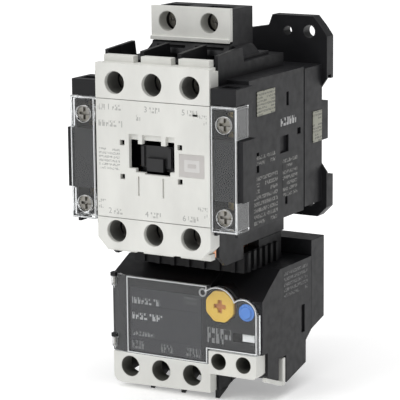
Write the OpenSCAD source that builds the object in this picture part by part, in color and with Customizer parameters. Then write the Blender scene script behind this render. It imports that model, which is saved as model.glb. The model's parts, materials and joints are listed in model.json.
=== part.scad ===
// Magnetic motor starter: a three-pole contactor with a thermal overload relay hung under it.
// Millimetres. +Z up, the front faces -Y, the mounting plane is Y = 0.
// Origin: centre of the four-hole mounting pattern, on the mounting plane.
// Depths are given as distance in front of the mounting plane, so depth 70 is Y = -70.

/* [Mounting] */
// Distance between the mounting holes across the width
hole_pitch_x = 50; // [48:0.5:52]
// Distance between the mounting holes up the height
hole_pitch_z = 60; // [59:0.5:61]
// Diameter of the mounting holes
hole_d = 4.5; // [4:0.1:5]
// Height of the rail that the groove takes
rail_h = 35; // [34.5:0.1:35.2]

/* [Contactor] */
// Distance between neighbouring poles
pole_pitch = 14.5; // [14.2:0.1:14.8]
// Depth of the contactor's ivory front face
front_depth = 70; // [69.5:0.1:70.5]
// Width of the contactor's housing
housing_w = 60; // [59.6:0.1:60.4]
// Width of the ivory front cover
cover_w = 44; // [43.8:0.1:44.4]
// Diameter of the main screwdriver holes
access_d = 7.7; // [7.3:0.1:8]
// How far the armature travels when the coil pulls it in
armature_travel = 3.9; // [3:0.1:3.9]

/* [Relay] */
// Width of the overload relay
relay_w = 59.6; // [59.2:0.1:60]
// Distance between the relay's load terminals
relay_pitch = 12.6; // [12.4:0.1:12.7]
// Diameter of the current dial
dial_d = 11.8; // [11:0.1:12.2]
// How far the reset button travels
reset_travel = 2.2; // [1:0.1:2.2]

/* [Hidden] */
pole_x = [for (i = [-1:1]) i * pole_pitch];
pole_z = -7.5;
sides = [-1, 1];
half_w = housing_w / 2;
cover_half = cover_w / 2;
relay_half = relay_w / 2;
lug_half = 32;
lug_t = 5;
rail_z = -2.8;
rail_floor = 4.1;
rail_clear = 0.3;
joint_depth = 18;
housing_screw_z = [7, -22];
wing_depth = 57.8;
core_depth = 63.8;
wing_z = [-30.6, 19.5];
core_z = [-38.5, 24];
screw_off = 25.3;
pocket_x = 6;
pocket_floor = 56;
// actuator window: its sides, its upper edge and the two teeth that hang from it
window_x = [-9.1, 8.5];
window_top = 5.6;
window_teeth = [[-5.6, -3.9], [3.4, 5.2]];
chamber_off = 13;
pocket_off = 14.3;
bar_w = 8.4;
bar_t = 1.6;
bar_low = 43.9;
tip_off = 7;
tip_t = 0.9;
bridge_depth = bar_low + bar_t + 2 * tip_t + armature_travel + 0.1;
pole_face = 22.2;
shroud_back = 64;
cover_wall = 1.8;
shroud_chamfer = 3.6;
panel_z = [-28.05, 12.15];
line_z = [12.35, 24.3];
load_z = [-39, -28.25];
lip_half = 5.8;
window_z = -6.65;
magnet_x = 20.5;
magnet_off = 18;
coil_x = 15.2;
coil_z = [30, 41.2];
coil_depth = [28, 42.3];
coil_holes = [-9, 7.4];
coil_hole_z = 36;
aux_x = [22.3, 31.2];
aux_screw_x = 27.2;
aux_screw_z = [6.4, -24.4];
aux_z = [-29.6, 16.4];
aux_cap_z = [-29.4, 12.5];
aux_mid_z = [-19, 1.4];
relay_front = 48.8;
relay_hole_x = [for (i = [0:2]) -22.9 + i * relay_pitch];
relay_hole_z = -86.3;
relay_aux_x = [14, 23.7];
relay_aux_z = -79.4;
relay_hole_r = 3.75;
relay_boss_r = 4.4;
aux_hole_r = 2.95;
aux_boss_r = 3.45;
boss_back = 43.4;
boss_front = 48.1;
relay_split = 9.8;
dial_x = 13.9;
dial_z = -60.2;
reset_x = 23.8;
reset_z = -61.4;
reset_seat = 34 + reset_travel;
flag_x = 24.2;
flag_z = -70.6;
bimetal_z = [-77, -55.5];
hinge_x = -28.7;
hinge_depth = 49.9;
hinge_z = [-79.4, -57.4];
knuckle = 3.2;
pin_r = 0.5;
wall_depth = 38;
blade_slot = [36.3, 37.9];
screw_gap = 0.05;
skin = 1.6;

// Helpers

// A block given by its ranges in X, in depth and in Z
module slab(x, d, z) {
    translate([x[0], -d[1], z[0]]) cube([x[1] - x[0], d[1] - d[0], z[1] - z[0]]);
}

// A round bar or hole along the depth
module round_bar(x, z, r, d) {
    translate([x, -d[0], z]) rotate([90, 0, 0]) cylinder(r = r, h = d[1] - d[0], $fn = 48);
}

// An outline of [x, z] points, extruded over a range of depth
module front_plate(d, points) {
    translate([0, -d[0], 0]) rotate([90, 0, 0])
        linear_extrude(d[1] - d[0]) polygon(points);
}

// An outline of [depth, z] points, extruded over a range of X
module side_profile(x, points) {
    translate([x[0], 0, 0]) rotate([90, 0, 90])
        linear_extrude(x[1] - x[0]) polygon([for (p = points) [-p[0], p[1]]]);
}

// A helical spring along +Z, one closed surface
module helix(r, wire, turns, h, steps = 14, ring = 6) {
    n = round(turns * steps);
    points = [for (i = [0:n]) let (a = 360 * turns * i / n) for (j = [0:ring - 1])
        let (b = 360 * j / ring, q = r + wire * cos(b))
        [q * cos(a), q * sin(a), wire + (h - 2 * wire) * i / n + wire * sin(b)]];
    walls = [for (i = [0:n - 1]) for (j = [0:ring - 1]) let (k = (j + 1) % ring)
        [i * ring + j, (i + 1) * ring + j, (i + 1) * ring + k, i * ring + k]];
    ends = [[for (j = [0:ring - 1]) j], [for (j = [ring - 1:-1:0]) n * ring + j]];
    polyhedron(points = points, faces = concat(walls, ends), convexity = 8);
}

// A helical spring along the depth
module deep_spring(x, z, r, wire, turns, d) {
    translate([x, -d[0], z]) rotate([90, 0, 0]) helix(r, wire, turns, d[1] - d[0]);
}

// A cross-slotted screw along the depth: shaft, head and recess
module slotted_screw(x, z, shaft_r, head_r, d_tip, d_seat, d_top) {
    difference() {
        union() {
            round_bar(x, z, shaft_r, [d_tip, d_seat]);
            round_bar(x, z, head_r, [d_seat, d_top]);
        }
        slab([x - head_r * 0.72, x + head_r * 0.72], [d_top - 1.1, d_top + 1], [z - 0.5, z + 0.5]);
        slab([x - 0.5, x + 0.5], [d_top - 1.1, d_top + 1], [z - head_r * 0.72, z + head_r * 0.72]);
    }
}

// Outline of the actuator window: stepped below, with two teeth hanging from its top edge
module window_outline() {
    left = window_teeth[0];
    right = window_teeth[1];
    tip = 4.4;
    polygon([[window_x[0], -4], [-6.5, -4], [-6.5, -5.2], [-3.1, -5.2], [-3.1, -5.7], [6.8, -5.7],
             [6.8, -4.2], [window_x[1], -4.2], [window_x[1], window_top], [right[1], window_top],
             [right[1], tip], [right[0], tip], [right[0], window_top], [left[1], window_top],
             [left[1], tip], [left[0], tip], [left[0], window_top], [window_x[0], window_top]]);
}

// Contactor: base and magnet

module flange_outline() {
    polygon([[-28, 8], [-lug_half, 13.8], [-lug_half, 28.6], [-29.5, 32], [-26.5, 35.4],
             [-10.5, 35.4], [-9, 31.5], [0, 30], [9, 31.5], [10.5, 35.4], [26.5, 35.4],
             [29.5, 32], [lug_half, 28.6], [lug_half, 13.8], [28, 8], [28, -14],
             [lug_half, -19.4], [lug_half, -32], [28.4, -35.6], [14.6, -35.6], [13, -31],
             [-13, -31], [-14.6, -35.6], [-28.4, -35.6], [-lug_half, -32],
             [-lug_half, -19.4], [-28, -14]]);
}

// Tab of the base that stands inside the rail's hollow
module rail_tab(s, proud) {
    slab([s * 26 - 4, s * 26 + 4], [-proud, lug_t], [-8.1, 5.5]);
}

module base_frame() {
    groove_top = rail_z + rail_h / 2 + rail_clear;
    groove_bottom = rail_z - rail_h / 2 - rail_clear;
    color([0.16, 0.16, 0.17]) difference() {
        union() {
            rotate([90, 0, 0]) linear_extrude(lug_t) flange_outline();
            slab([-half_w, half_w], [rail_floor + 0.6, joint_depth], [-29.6, 18.8]);
            for (s = sides) rail_tab(s, 0);
        }
        // rail groove: open at the back, undercut at the top edge
        difference() {
            slab([-40, 40], [-1, rail_floor], [groove_bottom, groove_top - 1.4]);
            for (s = sides) rail_tab(s, 1);
        }
        slab([-40, 40], [1.7, rail_floor], [groove_top - 1.5, groove_top]);
        // magnet well
        slab([-magnet_x, magnet_x], [5.8, joint_depth + 1],
             [pole_z - magnet_off, pole_z + magnet_off]);
        // mounting holes and their counterbore slots
        for (sx = sides, sz = sides)
            round_bar(sx * hole_pitch_x / 2, sz * hole_pitch_z / 2, hole_d / 2, [-1, lug_t + 1]);
        // spare holes beside the top mounting holes
        for (s = sides) round_bar(s * 16.6, hole_pitch_z / 2, 1.6, [-1, lug_t + 1]);
        // latch channel, wider in the middle of its depth so that it keeps the latch
        slab([-7.2, 7.2], [-1, rail_floor], [-40, groove_bottom + 1]);
        slab([-8.6, 8.6], [1.5, rail_floor], [-40, groove_bottom + 1]);
        // screw holes for the housing screws
        for (s = sides, z = housing_screw_z)
            round_bar(s * 26, z, 1.5 + screw_gap, [8, joint_depth + 1]);
    }
    // post that carries the latch spring
    color([0.16, 0.16, 0.17]) slab([-1.6, 1.6], [0.8, rail_floor + 0.8], [-30.6, -29.2]);
}

module e_core(yoke, leg_end) {
    // a yoke with three legs that reach to leg_end
    legs = [min(yoke[0], leg_end), max(yoke[1], leg_end)];
    stack = [pole_z - 5.5, pole_z + 5.5];
    slab([-19, 19], yoke, stack);
    for (x = [-16, 16]) slab([x - 3, x + 3], legs, stack);
    slab([-4, 4], legs, stack);
}

module fixed_core() {
    color([0.55, 0.55, 0.57]) difference() {
        e_core([7.2, 12], pole_face);
        // grooves in the outer pole faces for the shading rings
        for (s = sides) slab([s * 16 - 0.5, s * 16 + 0.5], [20.9, 23], [pole_z - 6, pole_z + 6]);
    }
}

module shading_rings() {
    // each ring passes through its groove and round the outer half of the leg
    color([0.80, 0.45, 0.25]) for (s = sides) difference() {
        slab([min(s * 15.55, s * 19.9), max(s * 15.55, s * 19.9)], [20.95, 21.9],
             [pole_z - 6.4, pole_z + 6.4]);
        slab([min(s * 16.45, s * 19.05), max(s * 16.45, s * 19.05)], [20, 23],
             [pole_z - 5.55, pole_z + 5.55]);
    }
}

module core_cushions() {
    color([0.25, 0.25, 0.25]) for (s = sides)
        slab([s * 14 - 4, s * 14 + 4], [5.85, 7.15], [pole_z - 5, pole_z + 5]);
}

module coil_bobbin() {
    color([0.75, 0.72, 0.62]) difference() {
        union() {
            slab([-6, 6], [12.2, 21.6], [pole_z - 7.4, pole_z + 7.4]);
            for (d = [12.2, 20.6])
                slab([-12.6, 12.6], [d, d + 1], [pole_z - 14.5, pole_z + 14.5]);
        }
        slab([-4.3, 4.3], [12, 22], [pole_z - 5.8, pole_z + 5.8]);
    }
}

module coil_winding() {
    color([0.70, 0.35, 0.18]) difference() {
        slab([-11.8, 11.8], [13.3, 20.5], [pole_z - 13.4, pole_z + 13.4]);
        slab([-6.1, 6.1], [13, 21], [pole_z - 7.5, pole_z + 7.5]);
    }
}

module return_springs() {
    color([0.75, 0.75, 0.77]) for (s = sides)
        deep_spring(0, pole_z + s * 11, 2.2, 0.35, 6, [21.8, 35.9]);
}

// Contactor: housing and front

module barrier_fin(x, t, up) {
    // up is 1 for the fins over the line side and -1 for those under the load side
    outer = abs(x) > pole_pitch;
    points = up > 0 ? [[46, 23], [47.2, 29.1], [core_depth, 28], [core_depth, 23]]
           : outer ? [[47.2, -37], [47.2, -43], [59.5, -43], [core_depth, -39.5], [core_depth, -37]]
           : [[50, -37], [50, -39.5], [core_depth, -39.5], [core_depth, -37]];
    side_profile([x - t / 2, x + t / 2], points);
}

module pole_cavities(x) {
    // contact chamber
    slab([x - pocket_x, x + pocket_x], [42, core_depth + 1],
         [pole_z - chamber_off, pole_z + chamber_off]);
    for (up = sides) {
        inner = pole_z + up * pocket_off;
        outer = pole_z + up * 40;
        // terminal pocket, open outwards and to the front
        slab([x - pocket_x, x + pocket_x], [pocket_floor, core_depth + 1],
             [min(inner, outer), max(inner, outer)]);
        // seat of the contact bar and the slot for its riser
        seat = pole_z + up * 30.2;
        slab([x - bar_w / 2 - 0.1, x + bar_w / 2 + 0.1], [pocket_floor - bar_t, pocket_floor + 1],
             [min(inner, seat), max(inner, seat)]);
        riser = pole_z + up * 16.2;
        low = pole_z + up * 12;
        slab([x - bar_w / 2 - 0.1, x + bar_w / 2 + 0.1], [bar_low, pocket_floor],
             [min(inner, riser), max(inner, riser)]);
        slab([x - bar_w / 2 - 0.1, x + bar_w / 2 + 0.1], [bar_low, bar_low + bar_t + 0.1],
             [min(low, riser), max(low, riser)]);
        // room for the end of the terminal screw
        round_bar(x, pole_z + up * screw_off, 2.4, [49, pocket_floor]);
    }
}

module arc_housing() {
    color([0.17, 0.17, 0.18]) difference() {
        union() {
            slab([-half_w, half_w], [joint_depth, wing_depth], wing_z);
            slab([-cover_half + 0.2, cover_half - 0.2], [joint_depth, core_depth], core_z);
            for (s = sides) {
                barrier_fin(s * (cover_half - 1), 1.6, 1);
                barrier_fin(s * pole_pitch / 2, 1.6, 1);
                barrier_fin(s * (cover_half - 1), 1.6, -1);
                barrier_fin(s * pole_pitch / 2, 1.6, -1);
            }
            // shoulders that carry the coil terminal block
            slab([-19.2, 19.2], [24, 43.5], [23, 25.2]);
        }
        for (x = pole_x) pole_cavities(x);
        // slot across the poles for the crossbar
        slab([-magnet_x, magnet_x], [38, core_depth + 1], [pole_z - 4.6, pole_z + 4.6]);
        // magnet chamber
        slab([-magnet_x, magnet_x], [joint_depth - 1, 40.2],
             [pole_z - magnet_off, pole_z + magnet_off]);
        // slots through which the crossbar drives the auxiliary bridges
        slab([-28.2, 28.2], [44.5, wing_depth + 1], [pole_z - 1.8, pole_z + 1.8]);
        // recesses and slots of the side walls
        for (s = sides) {
            side = s > 0 ? [half_w - 1.1, half_w + 1] : [-half_w - 1, -half_w + 1.1];
            slab(side, [30, 36], [-8, -2.2]);
            slab(side, [51, 55.5], [-12, -5.2]);
            slab(side, [21, 23.5], [-3.2, -1]);
            slab(side, [29.8, 31.4], [7.8, 12.5]);
            slab(side, [30.8, 32.4], [-26.2, -18.2]);
            // shadow line along the joint with the base
            slab(s > 0 ? [half_w - 0.7, half_w + 1] : [-half_w - 1, 0.7 - half_w],
                 [joint_depth - 1, joint_depth + 0.7], [-40, 30]);
            for (z = housing_screw_z) {
                round_bar(s * 26, z, 1.5 + screw_gap, [joint_depth - 1, 54]);
                round_bar(s * 26, z, 2.9, [52, wing_depth + 1]);
            }
        }
    }
}

module hollow_cover(z) {
    // a shallow ivory box, open at the back
    difference() {
        slab([-cover_half, cover_half], [shroud_back, front_depth], z);
        slab([-cover_half + cover_wall, cover_half - cover_wall],
             [shroud_back - 1, front_depth - cover_wall], [z[0] + 1, z[1] - 1]);
    }
}

module front_cover() {
    color([0.90, 0.90, 0.87]) difference() {
        hollow_cover(panel_z);
        translate([0, -shroud_back + 1, window_z]) rotate([90, 0, 0])
            linear_extrude(front_depth - shroud_back + 2) window_outline();
        // shallow recesses over the window, one above each gap between its teeth
        for (x = [[window_x[0], window_teeth[0][0]], [window_teeth[0][1], window_teeth[1][0]],
                  [window_teeth[1][1], window_x[1]]])
            slab(x, [front_depth - 1.2, front_depth + 1],
                 [window_z + window_top - 0.1, window_z + window_top + 2]);
        // four square holes for a clip-on accessory
        for (sx = sides, dz = [4.4, -7.1])
            slab([sx * 11.2 - 1.5, sx * 11.2 + 0.3], [front_depth - 3, front_depth + 1],
                 [window_z + dz - 0.9, window_z + dz + 0.9]);
        // grooves on each side of the snap tongue
        for (sx = sides)
            slab([sx * 4.8 - 1, sx * 4.8 - 0.4], [front_depth - 0.8, front_depth + 1],
                 [window_z - 13.2, window_z - 6.6]);
        // shallow panel of the emblem
        slab([10.3, 19.9], [front_depth - 0.3, front_depth + 1], [-12, -4.2]);
    }
}

module screw_guides() {
    // dark plates behind the ivory shrouds, with a tube down to each terminal screw
    r = access_d / 2;
    back = front_depth - cover_wall;
    side = cover_half - cover_wall - 0.4;
    color([0.14, 0.14, 0.15]) for (up = sides) difference() {
        near = up > 0 ? line_z[0] + 1.2 : load_z[1] - 1.2;
        far = up > 0 ? line_z[1] - 1.2 : load_z[0] + 1.2;
        hole_z = pole_z + up * screw_off;
        union() {
            front_plate([back - 1.2, back], [[-side, near], [side, near],
                [side, far - up * shroud_chamfer], [side - shroud_chamfer, far],
                [shroud_chamfer - side, far], [-side, far - up * shroud_chamfer]]);
            for (x = pole_x) round_bar(x, hole_z, r + 0.5, [61.6, back]);
        }
        for (x = pole_x) round_bar(x, hole_z, r, [61, back + 1]);
        // the tubes are flat where they pass the inner wall of their shroud
        slab([-30, 30], [60, back + 1], [min(near, near - up * 4), max(near, near - up * 4)]);
    }
}

module line_shroud() {
    r = access_d / 2;
    hole_z = pole_z + screw_off;
    color([0.90, 0.90, 0.87]) difference() {
        union() {
            hollow_cover(line_z);
            // lips that close the front of each wire entry
            for (x = pole_x)
                slab([x - lip_half, x + lip_half], [shroud_back, 67], [line_z[1] - 1, 26.7]);
        }
        for (x = pole_x) round_bar(x, hole_z, r, [61, front_depth + 1]);
        for (s = sides) slab([s * 23 - 2, s * 23 + 2], [shroud_back - 1, 67.5], [23.2, 25]);
    }
}

// Outline of the load shroud, its lower corners cut off, drawn inwards by its wall
module load_outline(side, top, bottom, chamfer) {
    polygon([[-side, top], [side, top], [side, bottom + chamfer], [side - chamfer, bottom],
             [chamfer - side, bottom], [-side, bottom + chamfer]]);
}

module load_shroud() {
    r = access_d / 2;
    hole_z = pole_z - screw_off;
    color([0.90, 0.90, 0.87]) difference() {
        union() {
            translate([0, -shroud_back, 0]) rotate([90, 0, 0])
                linear_extrude(front_depth - shroud_back)
                    load_outline(cover_half, load_z[1], load_z[0], shroud_chamfer);
            for (x = pole_x)
                slab([x - lip_half, x + lip_half], [shroud_back, 67], [-40.2, load_z[0] + 1]);
        }
        translate([0, 1 - shroud_back, 0]) rotate([90, 0, 0])
            linear_extrude(front_depth - shroud_back - cover_wall + 1)
                load_outline(cover_half - cover_wall, load_z[1] - 1, load_z[0] + 1, shroud_chamfer - 0.4);
        for (x = pole_x) round_bar(x, hole_z, r, [61, front_depth + 1]);
    }
}

module coil_terminal_block() {
    color([0.15, 0.15, 0.16]) difference() {
        union() {
            slab([-coil_x, coil_x], coil_depth, [25.2, coil_z[1] - 0.4]);
            side_profile([-coil_x, coil_x], [[coil_depth[1] - 1, 25.2], [45.4, 25.2], [44, 29.2],
                                             [coil_depth[1] - 1, 29.6]]);
            for (s = sides)
                front_plate([30, 42], [[s * 15, 25.2], [s * 19, 25.2], [s * 16.6, 28], [s * 15, 28.6]]);
        }
        // terminal pocket behind each screw hole, and the wire entry at its top
        for (x = coil_holes) {
            slab([x - 4.6, x + 4.6], [33.6, coil_depth[1] + 1], [31.2, 43]);
            slab([x - 3.6, x + 3.6], [31.6, 34], [31.2, 39.4]);
            round_bar(x, coil_hole_z, 1.9, [29.4, 34]);
        }
        // gaps between the ribs that join the block to the poles
        for (s = sides) slab([s * 7.5 - 5.5, s * 7.5 + 5.5], [43.4, 46], [27.2, 28]);
    }
}

module coil_terminal_cover() {
    color([0.90, 0.90, 0.87]) difference() {
        union() {
            slab([-coil_x - 0.2, coil_x + 0.2], [42.35, 44.3], coil_z);
            slab([-coil_x - 0.2, coil_x + 0.2], [44.2, 45.2], [coil_z[0] - 0.4, coil_z[0] + 0.9]);
        }
        for (x = coil_holes) round_bar(x, coil_hole_z, 3.5, [38, 46]);
        for (x = [-3.5, 3.5]) slab([x - 2.2, x + 2.2], [42.8, 43.6], [coil_z[1] - 1.2, coil_z[1] + 1]);
    }
}

module coil_terminals() {
    color([0.78, 0.66, 0.36]) for (x = coil_holes) difference() {
        slab([x - 3.5, x + 3.5], [31.7, 33.5], [31.3, 39.3]);
        round_bar(x, coil_hole_z, 1.5 + screw_gap, [31, 35]);
    }
}

module coil_screws() {
    color([0.62, 0.60, 0.54]) for (x = coil_holes)
        slotted_screw(x, coil_hole_z, 1.5, 3.0, 30, 36.2, 38.4);
}

// Contactor: contacts and terminals

module contact_bar(x, up) {
    // seen from the side: low end with its tip, riser, and terminal plate
    z0 = pole_z + up * 5;
    z1 = pole_z + up * pocket_off;
    z2 = pole_z + up * (pocket_off + bar_t);
    z3 = pole_z + up * 30;
    difference() {
        side_profile([x - bar_w / 2, x + bar_w / 2],
                     [[bar_low, z0], [bar_low, z2], [pocket_floor - bar_t, z2],
                      [pocket_floor - bar_t, z3], [pocket_floor, z3], [pocket_floor, z1],
                      [bar_low + bar_t, z1], [bar_low + bar_t, z0]]);
        round_bar(x, pole_z + up * screw_off, 2 + screw_gap, [50, pocket_floor + 1]);
    }
}

module contact_tip(x, z, d) {
    slab([x - 2.6, x + 2.6], [d, d + tip_t], [z - 1.8, z + 1.8]);
}

module fixed_contacts(up) {
    for (x = pole_x) {
        color([0.78, 0.48, 0.28]) contact_bar(x, up);
        color([0.80, 0.80, 0.82]) contact_tip(x, pole_z + up * tip_off, bar_low + bar_t);
    }
}

module line_contacts() {
    fixed_contacts(1);
}

module load_contacts() {
    fixed_contacts(-1);
}

module terminal_screws(up) {
    color([0.62, 0.60, 0.54]) for (x = pole_x)
        slotted_screw(x, pole_z + up * screw_off, 2, 3.5, 51, 58.8, 61.2);
}

module terminal_clamps(up) {
    z = pole_z + up * screw_off;
    color([0.66, 0.65, 0.62]) for (x = pole_x) difference() {
        union() {
            slab([x - 4.4, x + 4.4], [57.7, 58.7], [z - 4.4, z + 4.4]);
            for (s = sides) slab([x + s * 4 - 0.4, x + s * 4 + 0.4], [56.9, 58], [z - 4.4, z + 4.4]);
        }
        round_bar(x, z, 2 + screw_gap, [56, 60]);
    }
}

module line_screws() {
    terminal_screws(1);
}

module load_screws() {
    terminal_screws(-1);
}

module line_clamps() {
    terminal_clamps(1);
}

module load_clamps() {
    terminal_clamps(-1);
}

module arc_plates() {
    // U-shaped steel splitters in front of each fixed contact
    color([0.50, 0.50, 0.52]) for (x = pole_x, up = sides) difference() {
        z = pole_z + up * 11.2;
        slab([x - 5.9, x + 5.9], [54, 59], [z - 0.4, z + 0.4]);
        slab([x - 4.4, x + 4.4], [53, 57], [z - 1, z + 1]);
    }
}

// Contactor: the moving armature

module crossbar() {
    slot_d = [bridge_depth, bridge_depth + 7];
    color([0.10, 0.10, 0.11]) difference() {
        union() {
            slab([-20, 20], [46.6, 60], [pole_z - 4, pole_z + 4]);
            slab([-11, 11], [37.2, 47], [pole_z - 4, pole_z + 4]);
            slab([-19.6, 19.6], [36.1, 38], [pole_z - 13.6, pole_z + 13.6]);
            // actuator head, seen through the window
            translate([0, -59, window_z]) rotate([90, 0, 0])
                linear_extrude(8) square([12.2, 7.4], center = true);
            translate([0, -59, window_z - 4.2]) rotate([90, 0, 0])
                linear_extrude(7) square([12.2, 1.4], center = true);
            // raised finger pad on its lower half, with a ridge on each side of it
            slab([-3.2, 3.2], [66, 68.4], [window_z - 4.8, window_z - 0.4]);
            for (s = sides)
                slab([s * 5.2 - 0.6, s * 5.2 + 0.6], [66, 67.6], [window_z - 3.4, window_z + 3.4]);
        }
        // windows for the bridges and their springs
        for (x = pole_x) slab([x - 2.8, x + 2.8], slot_d, [pole_z - 6, pole_z + 6]);
    }
    // arms that carry the auxiliary bridges
    color([0.10, 0.10, 0.11]) for (s = sides)
        slab([s * 22.2 - 2.4, s * 22.2 + 2.4], [52, 55], [pole_z - 1.4, pole_z + 1.4]);
}

module moving_core() {
    color([0.55, 0.55, 0.57])
        e_core([31.2, 36.1], pole_face + armature_travel + 0.1);
}

module contact_bridges() {
    for (x = pole_x) {
        color([0.80, 0.46, 0.26])
            slab([x - 2.6, x + 2.6], [bridge_depth, bridge_depth + 1.5], [pole_z - 9.6, pole_z + 9.6]);
        color([0.80, 0.80, 0.82]) for (up = sides)
            contact_tip(x, pole_z + up * tip_off, bridge_depth - tip_t);
    }
}

module contact_springs() {
    color([0.75, 0.75, 0.77]) for (x = pole_x)
        deep_spring(x, pole_z, 1.8, 0.3, 5, [bridge_depth + 1.6, bridge_depth + 6.9]);
}

// Contactor: auxiliary contacts

module aux_block(s) {
    outer = s * aux_x[1];
    inner = s * aux_x[0];
    x = [min(inner, outer), max(inner, outer)];
    ridge = [min(inner, s * 31.7), max(inner, s * 31.7)];
    mid = [min(s * 23.4, s * 34), max(s * 23.4, s * 34)];
    color([0.13, 0.13, 0.14]) difference() {
        union() {
            slab(x, [wing_depth, 62], aux_z);
            slab(ridge, [wing_depth, 69.6], [12.7, 18.2]);
            slab(mid, [60, 69.2], aux_mid_z);
            // walls on both sides of the two terminals
            for (a = [22.6, 30.3], z = [[aux_z[0] + 1.2, aux_mid_z[0] + 0.1], [aux_mid_z[1] - 0.1, 11.3]])
                slab([min(s * a, s * (a + 0.8)), max(s * a, s * (a + 0.8))], [61.9, 68.8], z);
            // small feet each side of the lower wire entry
            for (a = [22.3, 30.1]) slab([min(s * a, s * (a + 1.1)), max(s * a, s * (a + 1.1))],
                                        [60, 68], [-31, aux_z[0] + 0.1]);
        }
        // chamber of the auxiliary bridge
        slab([s * 27.2 - 3.1, s * 27.2 + 3.1], [wing_depth - 1, 67.6],
             [aux_mid_z[0] + 1.6, aux_mid_z[1] - 1.6]);
        slab([min(s * 20, s * 30), max(s * 20, s * 30)], [wing_depth - 1, 60.4],
             [pole_z - 1.8, pole_z + 1.8]);
        // seats of the fixed contacts, running out under the clear cover
        for (z = aux_screw_z) {
            up = z > pole_z ? 1 : -1;
            slab([s * aux_screw_x - 2.9, s * aux_screw_x + 2.9], [60.5, 62.5],
                 [min(z + up * 3.4, pole_z + up * 4.4), max(z + up * 3.4, pole_z + up * 4.4)]);
            round_bar(s * aux_screw_x, z, 1.7, [wing_depth + 0.6, 62.5]);
        }
        // wire entry through the ridge over the cover
        slab([s * aux_screw_x - 2.9, s * aux_screw_x + 2.9], [62, 66.8], [12, 19]);
    }
}

module aux_block_left() {
    aux_block(-1);
}

module aux_block_right() {
    aux_block(1);
}

module aux_terminals() {
    color([0.78, 0.66, 0.36]) for (s = sides, z = aux_screw_z) {
        up = z > pole_z ? 1 : -1;
        ends = [z + up * 3.3, pole_z + up * 4.5];
        difference() {
            slab([s * aux_screw_x - 2.8, s * aux_screw_x + 2.8], [60.6, 61.8], [min(ends), max(ends)]);
            round_bar(s * aux_screw_x, z, 1.5 + screw_gap, [60, 63]);
        }
    }
}

module aux_screws() {
    color([0.70, 0.69, 0.66]) for (s = sides, z = aux_screw_z)
        slotted_screw(s * aux_screw_x, z, 1.5, 2.9, 58.8, 66.9, 69);
}

module aux_bridges() {
    // each sits on the end of a crossbar arm, inside its auxiliary block
    color([0.80, 0.46, 0.26]) for (s = sides) union() {
        slab([s * 27 - 2.4, s * 27 + 2.4], [66, 66.9], [pole_z - 6.8, pole_z + 6.8]);
        slab([s * 26.4 - 0.8, s * 26.4 + 0.8], [53, 66.1], [pole_z - 1.2, pole_z + 1.2]);
        slab([s * 25.5 - 0.9, s * 25.5 + 0.9], [53, 54.4], [pole_z - 1.2, pole_z + 1.2]);
    }
}

module aux_cover(s) {
    wall = 0.9;
    x = s > 0 ? [22.5, 32.2] : [-32.2, -22.5];
    inner = s > 0 ? [21, 32.2 - wall] : [-32.2 + wall, -21];
    side_cut = s > 0 ? [31, 33] : [-33, -31];
    color([0.82, 0.86, 0.88, 0.45]) difference() {
        slab(x, [62, front_depth + 0.2], aux_cap_z);
        // hollow, open at the back and on the side of the ivory cover
        slab(inner, [61, front_depth + 0.2 - wall], [aux_cap_z[0] + wall, aux_cap_z[1] - wall]);
        // the side is open where the dark middle block stands through it
        slab(side_cut, [61, front_depth + 0.2 - wall], [aux_mid_z[0] - 0.3, aux_mid_z[1] + 0.3]);
        // wire entries at both ends
        slab([s * aux_screw_x - 2.9, s * aux_screw_x + 2.9], [61, 66.8], [-40, 40]);
        // screwdriver holes
        for (z = aux_screw_z) round_bar(s * aux_screw_x, z, 2.8, [68, 72]);
    }
}

module aux_cover_left() {
    aux_cover(-1);
}

module aux_cover_right() {
    aux_cover(1);
}

module housing_screws() {
    color([0.66, 0.65, 0.62]) for (s = sides, z = housing_screw_z)
        slotted_screw(s * 26, z, 1.5, 2.7, 9, 52, 54);
}

module rail_latch() {
    z_top = rail_z - rail_h / 2 + 1.5;
    color([0.22, 0.22, 0.23]) difference() {
        union() {
            slab([-6.9, 6.9], [0.2, 3.9], [-37.4, -20.9]);
            slab([-8.3, 8.3], [1.8, 3.8], [-30, -23]);
            // lip that holds the lower edge of the rail
            side_profile([-6.9, 6.9], [[0.2, -21], [0.2, z_top - 0.6], [1, z_top], [2.4, z_top], [2.4, -21]]);
        }
        // slot for the spring and its post
        slab([-2.2, 2.2], [0.6, 4.5], [-31.6, -22.4]);
        // eye for a screwdriver tip
        slab([-2.4, 2.4], [-1, 5], [-36.2, -34.4]);
    }
}

module latch_spring() {
    color([0.75, 0.75, 0.77]) translate([0, -2.4, -29.1]) helix(1.2, 0.22, 6, 6.6);
}

module side_labels() {
    color([0.62, 0.62, 0.58]) for (s = sides) {
        x = s > 0 ? [half_w, half_w + 0.25] : [-half_w - 0.25, -half_w];
        slab(x, [40, 52.6], [7, 15.2]);
        slab(x, [5.2, 12], [-8, 3]);
    }
}

// Overload relay

module relay_back() {
    color([0.16, 0.16, 0.17]) union() {
        slab([-relay_half, relay_half], [2.4, 12.4], [-72.3, -42.6]);
        side_profile([-relay_half, relay_half], [[2.4, -72.2], [12.4, -72.2], [12.4, -75]]);
        slab([-18, 18], [12.3, 14.6], [-72, -53]);
        // guide of the reset stem
        difference() {
            round_bar(reset_x, reset_z, 3, [12.3, 28.1]);
            round_bar(reset_x, reset_z, 1.4 + 2 * screw_gap, [20, 29]);
        }
    }
}

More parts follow.
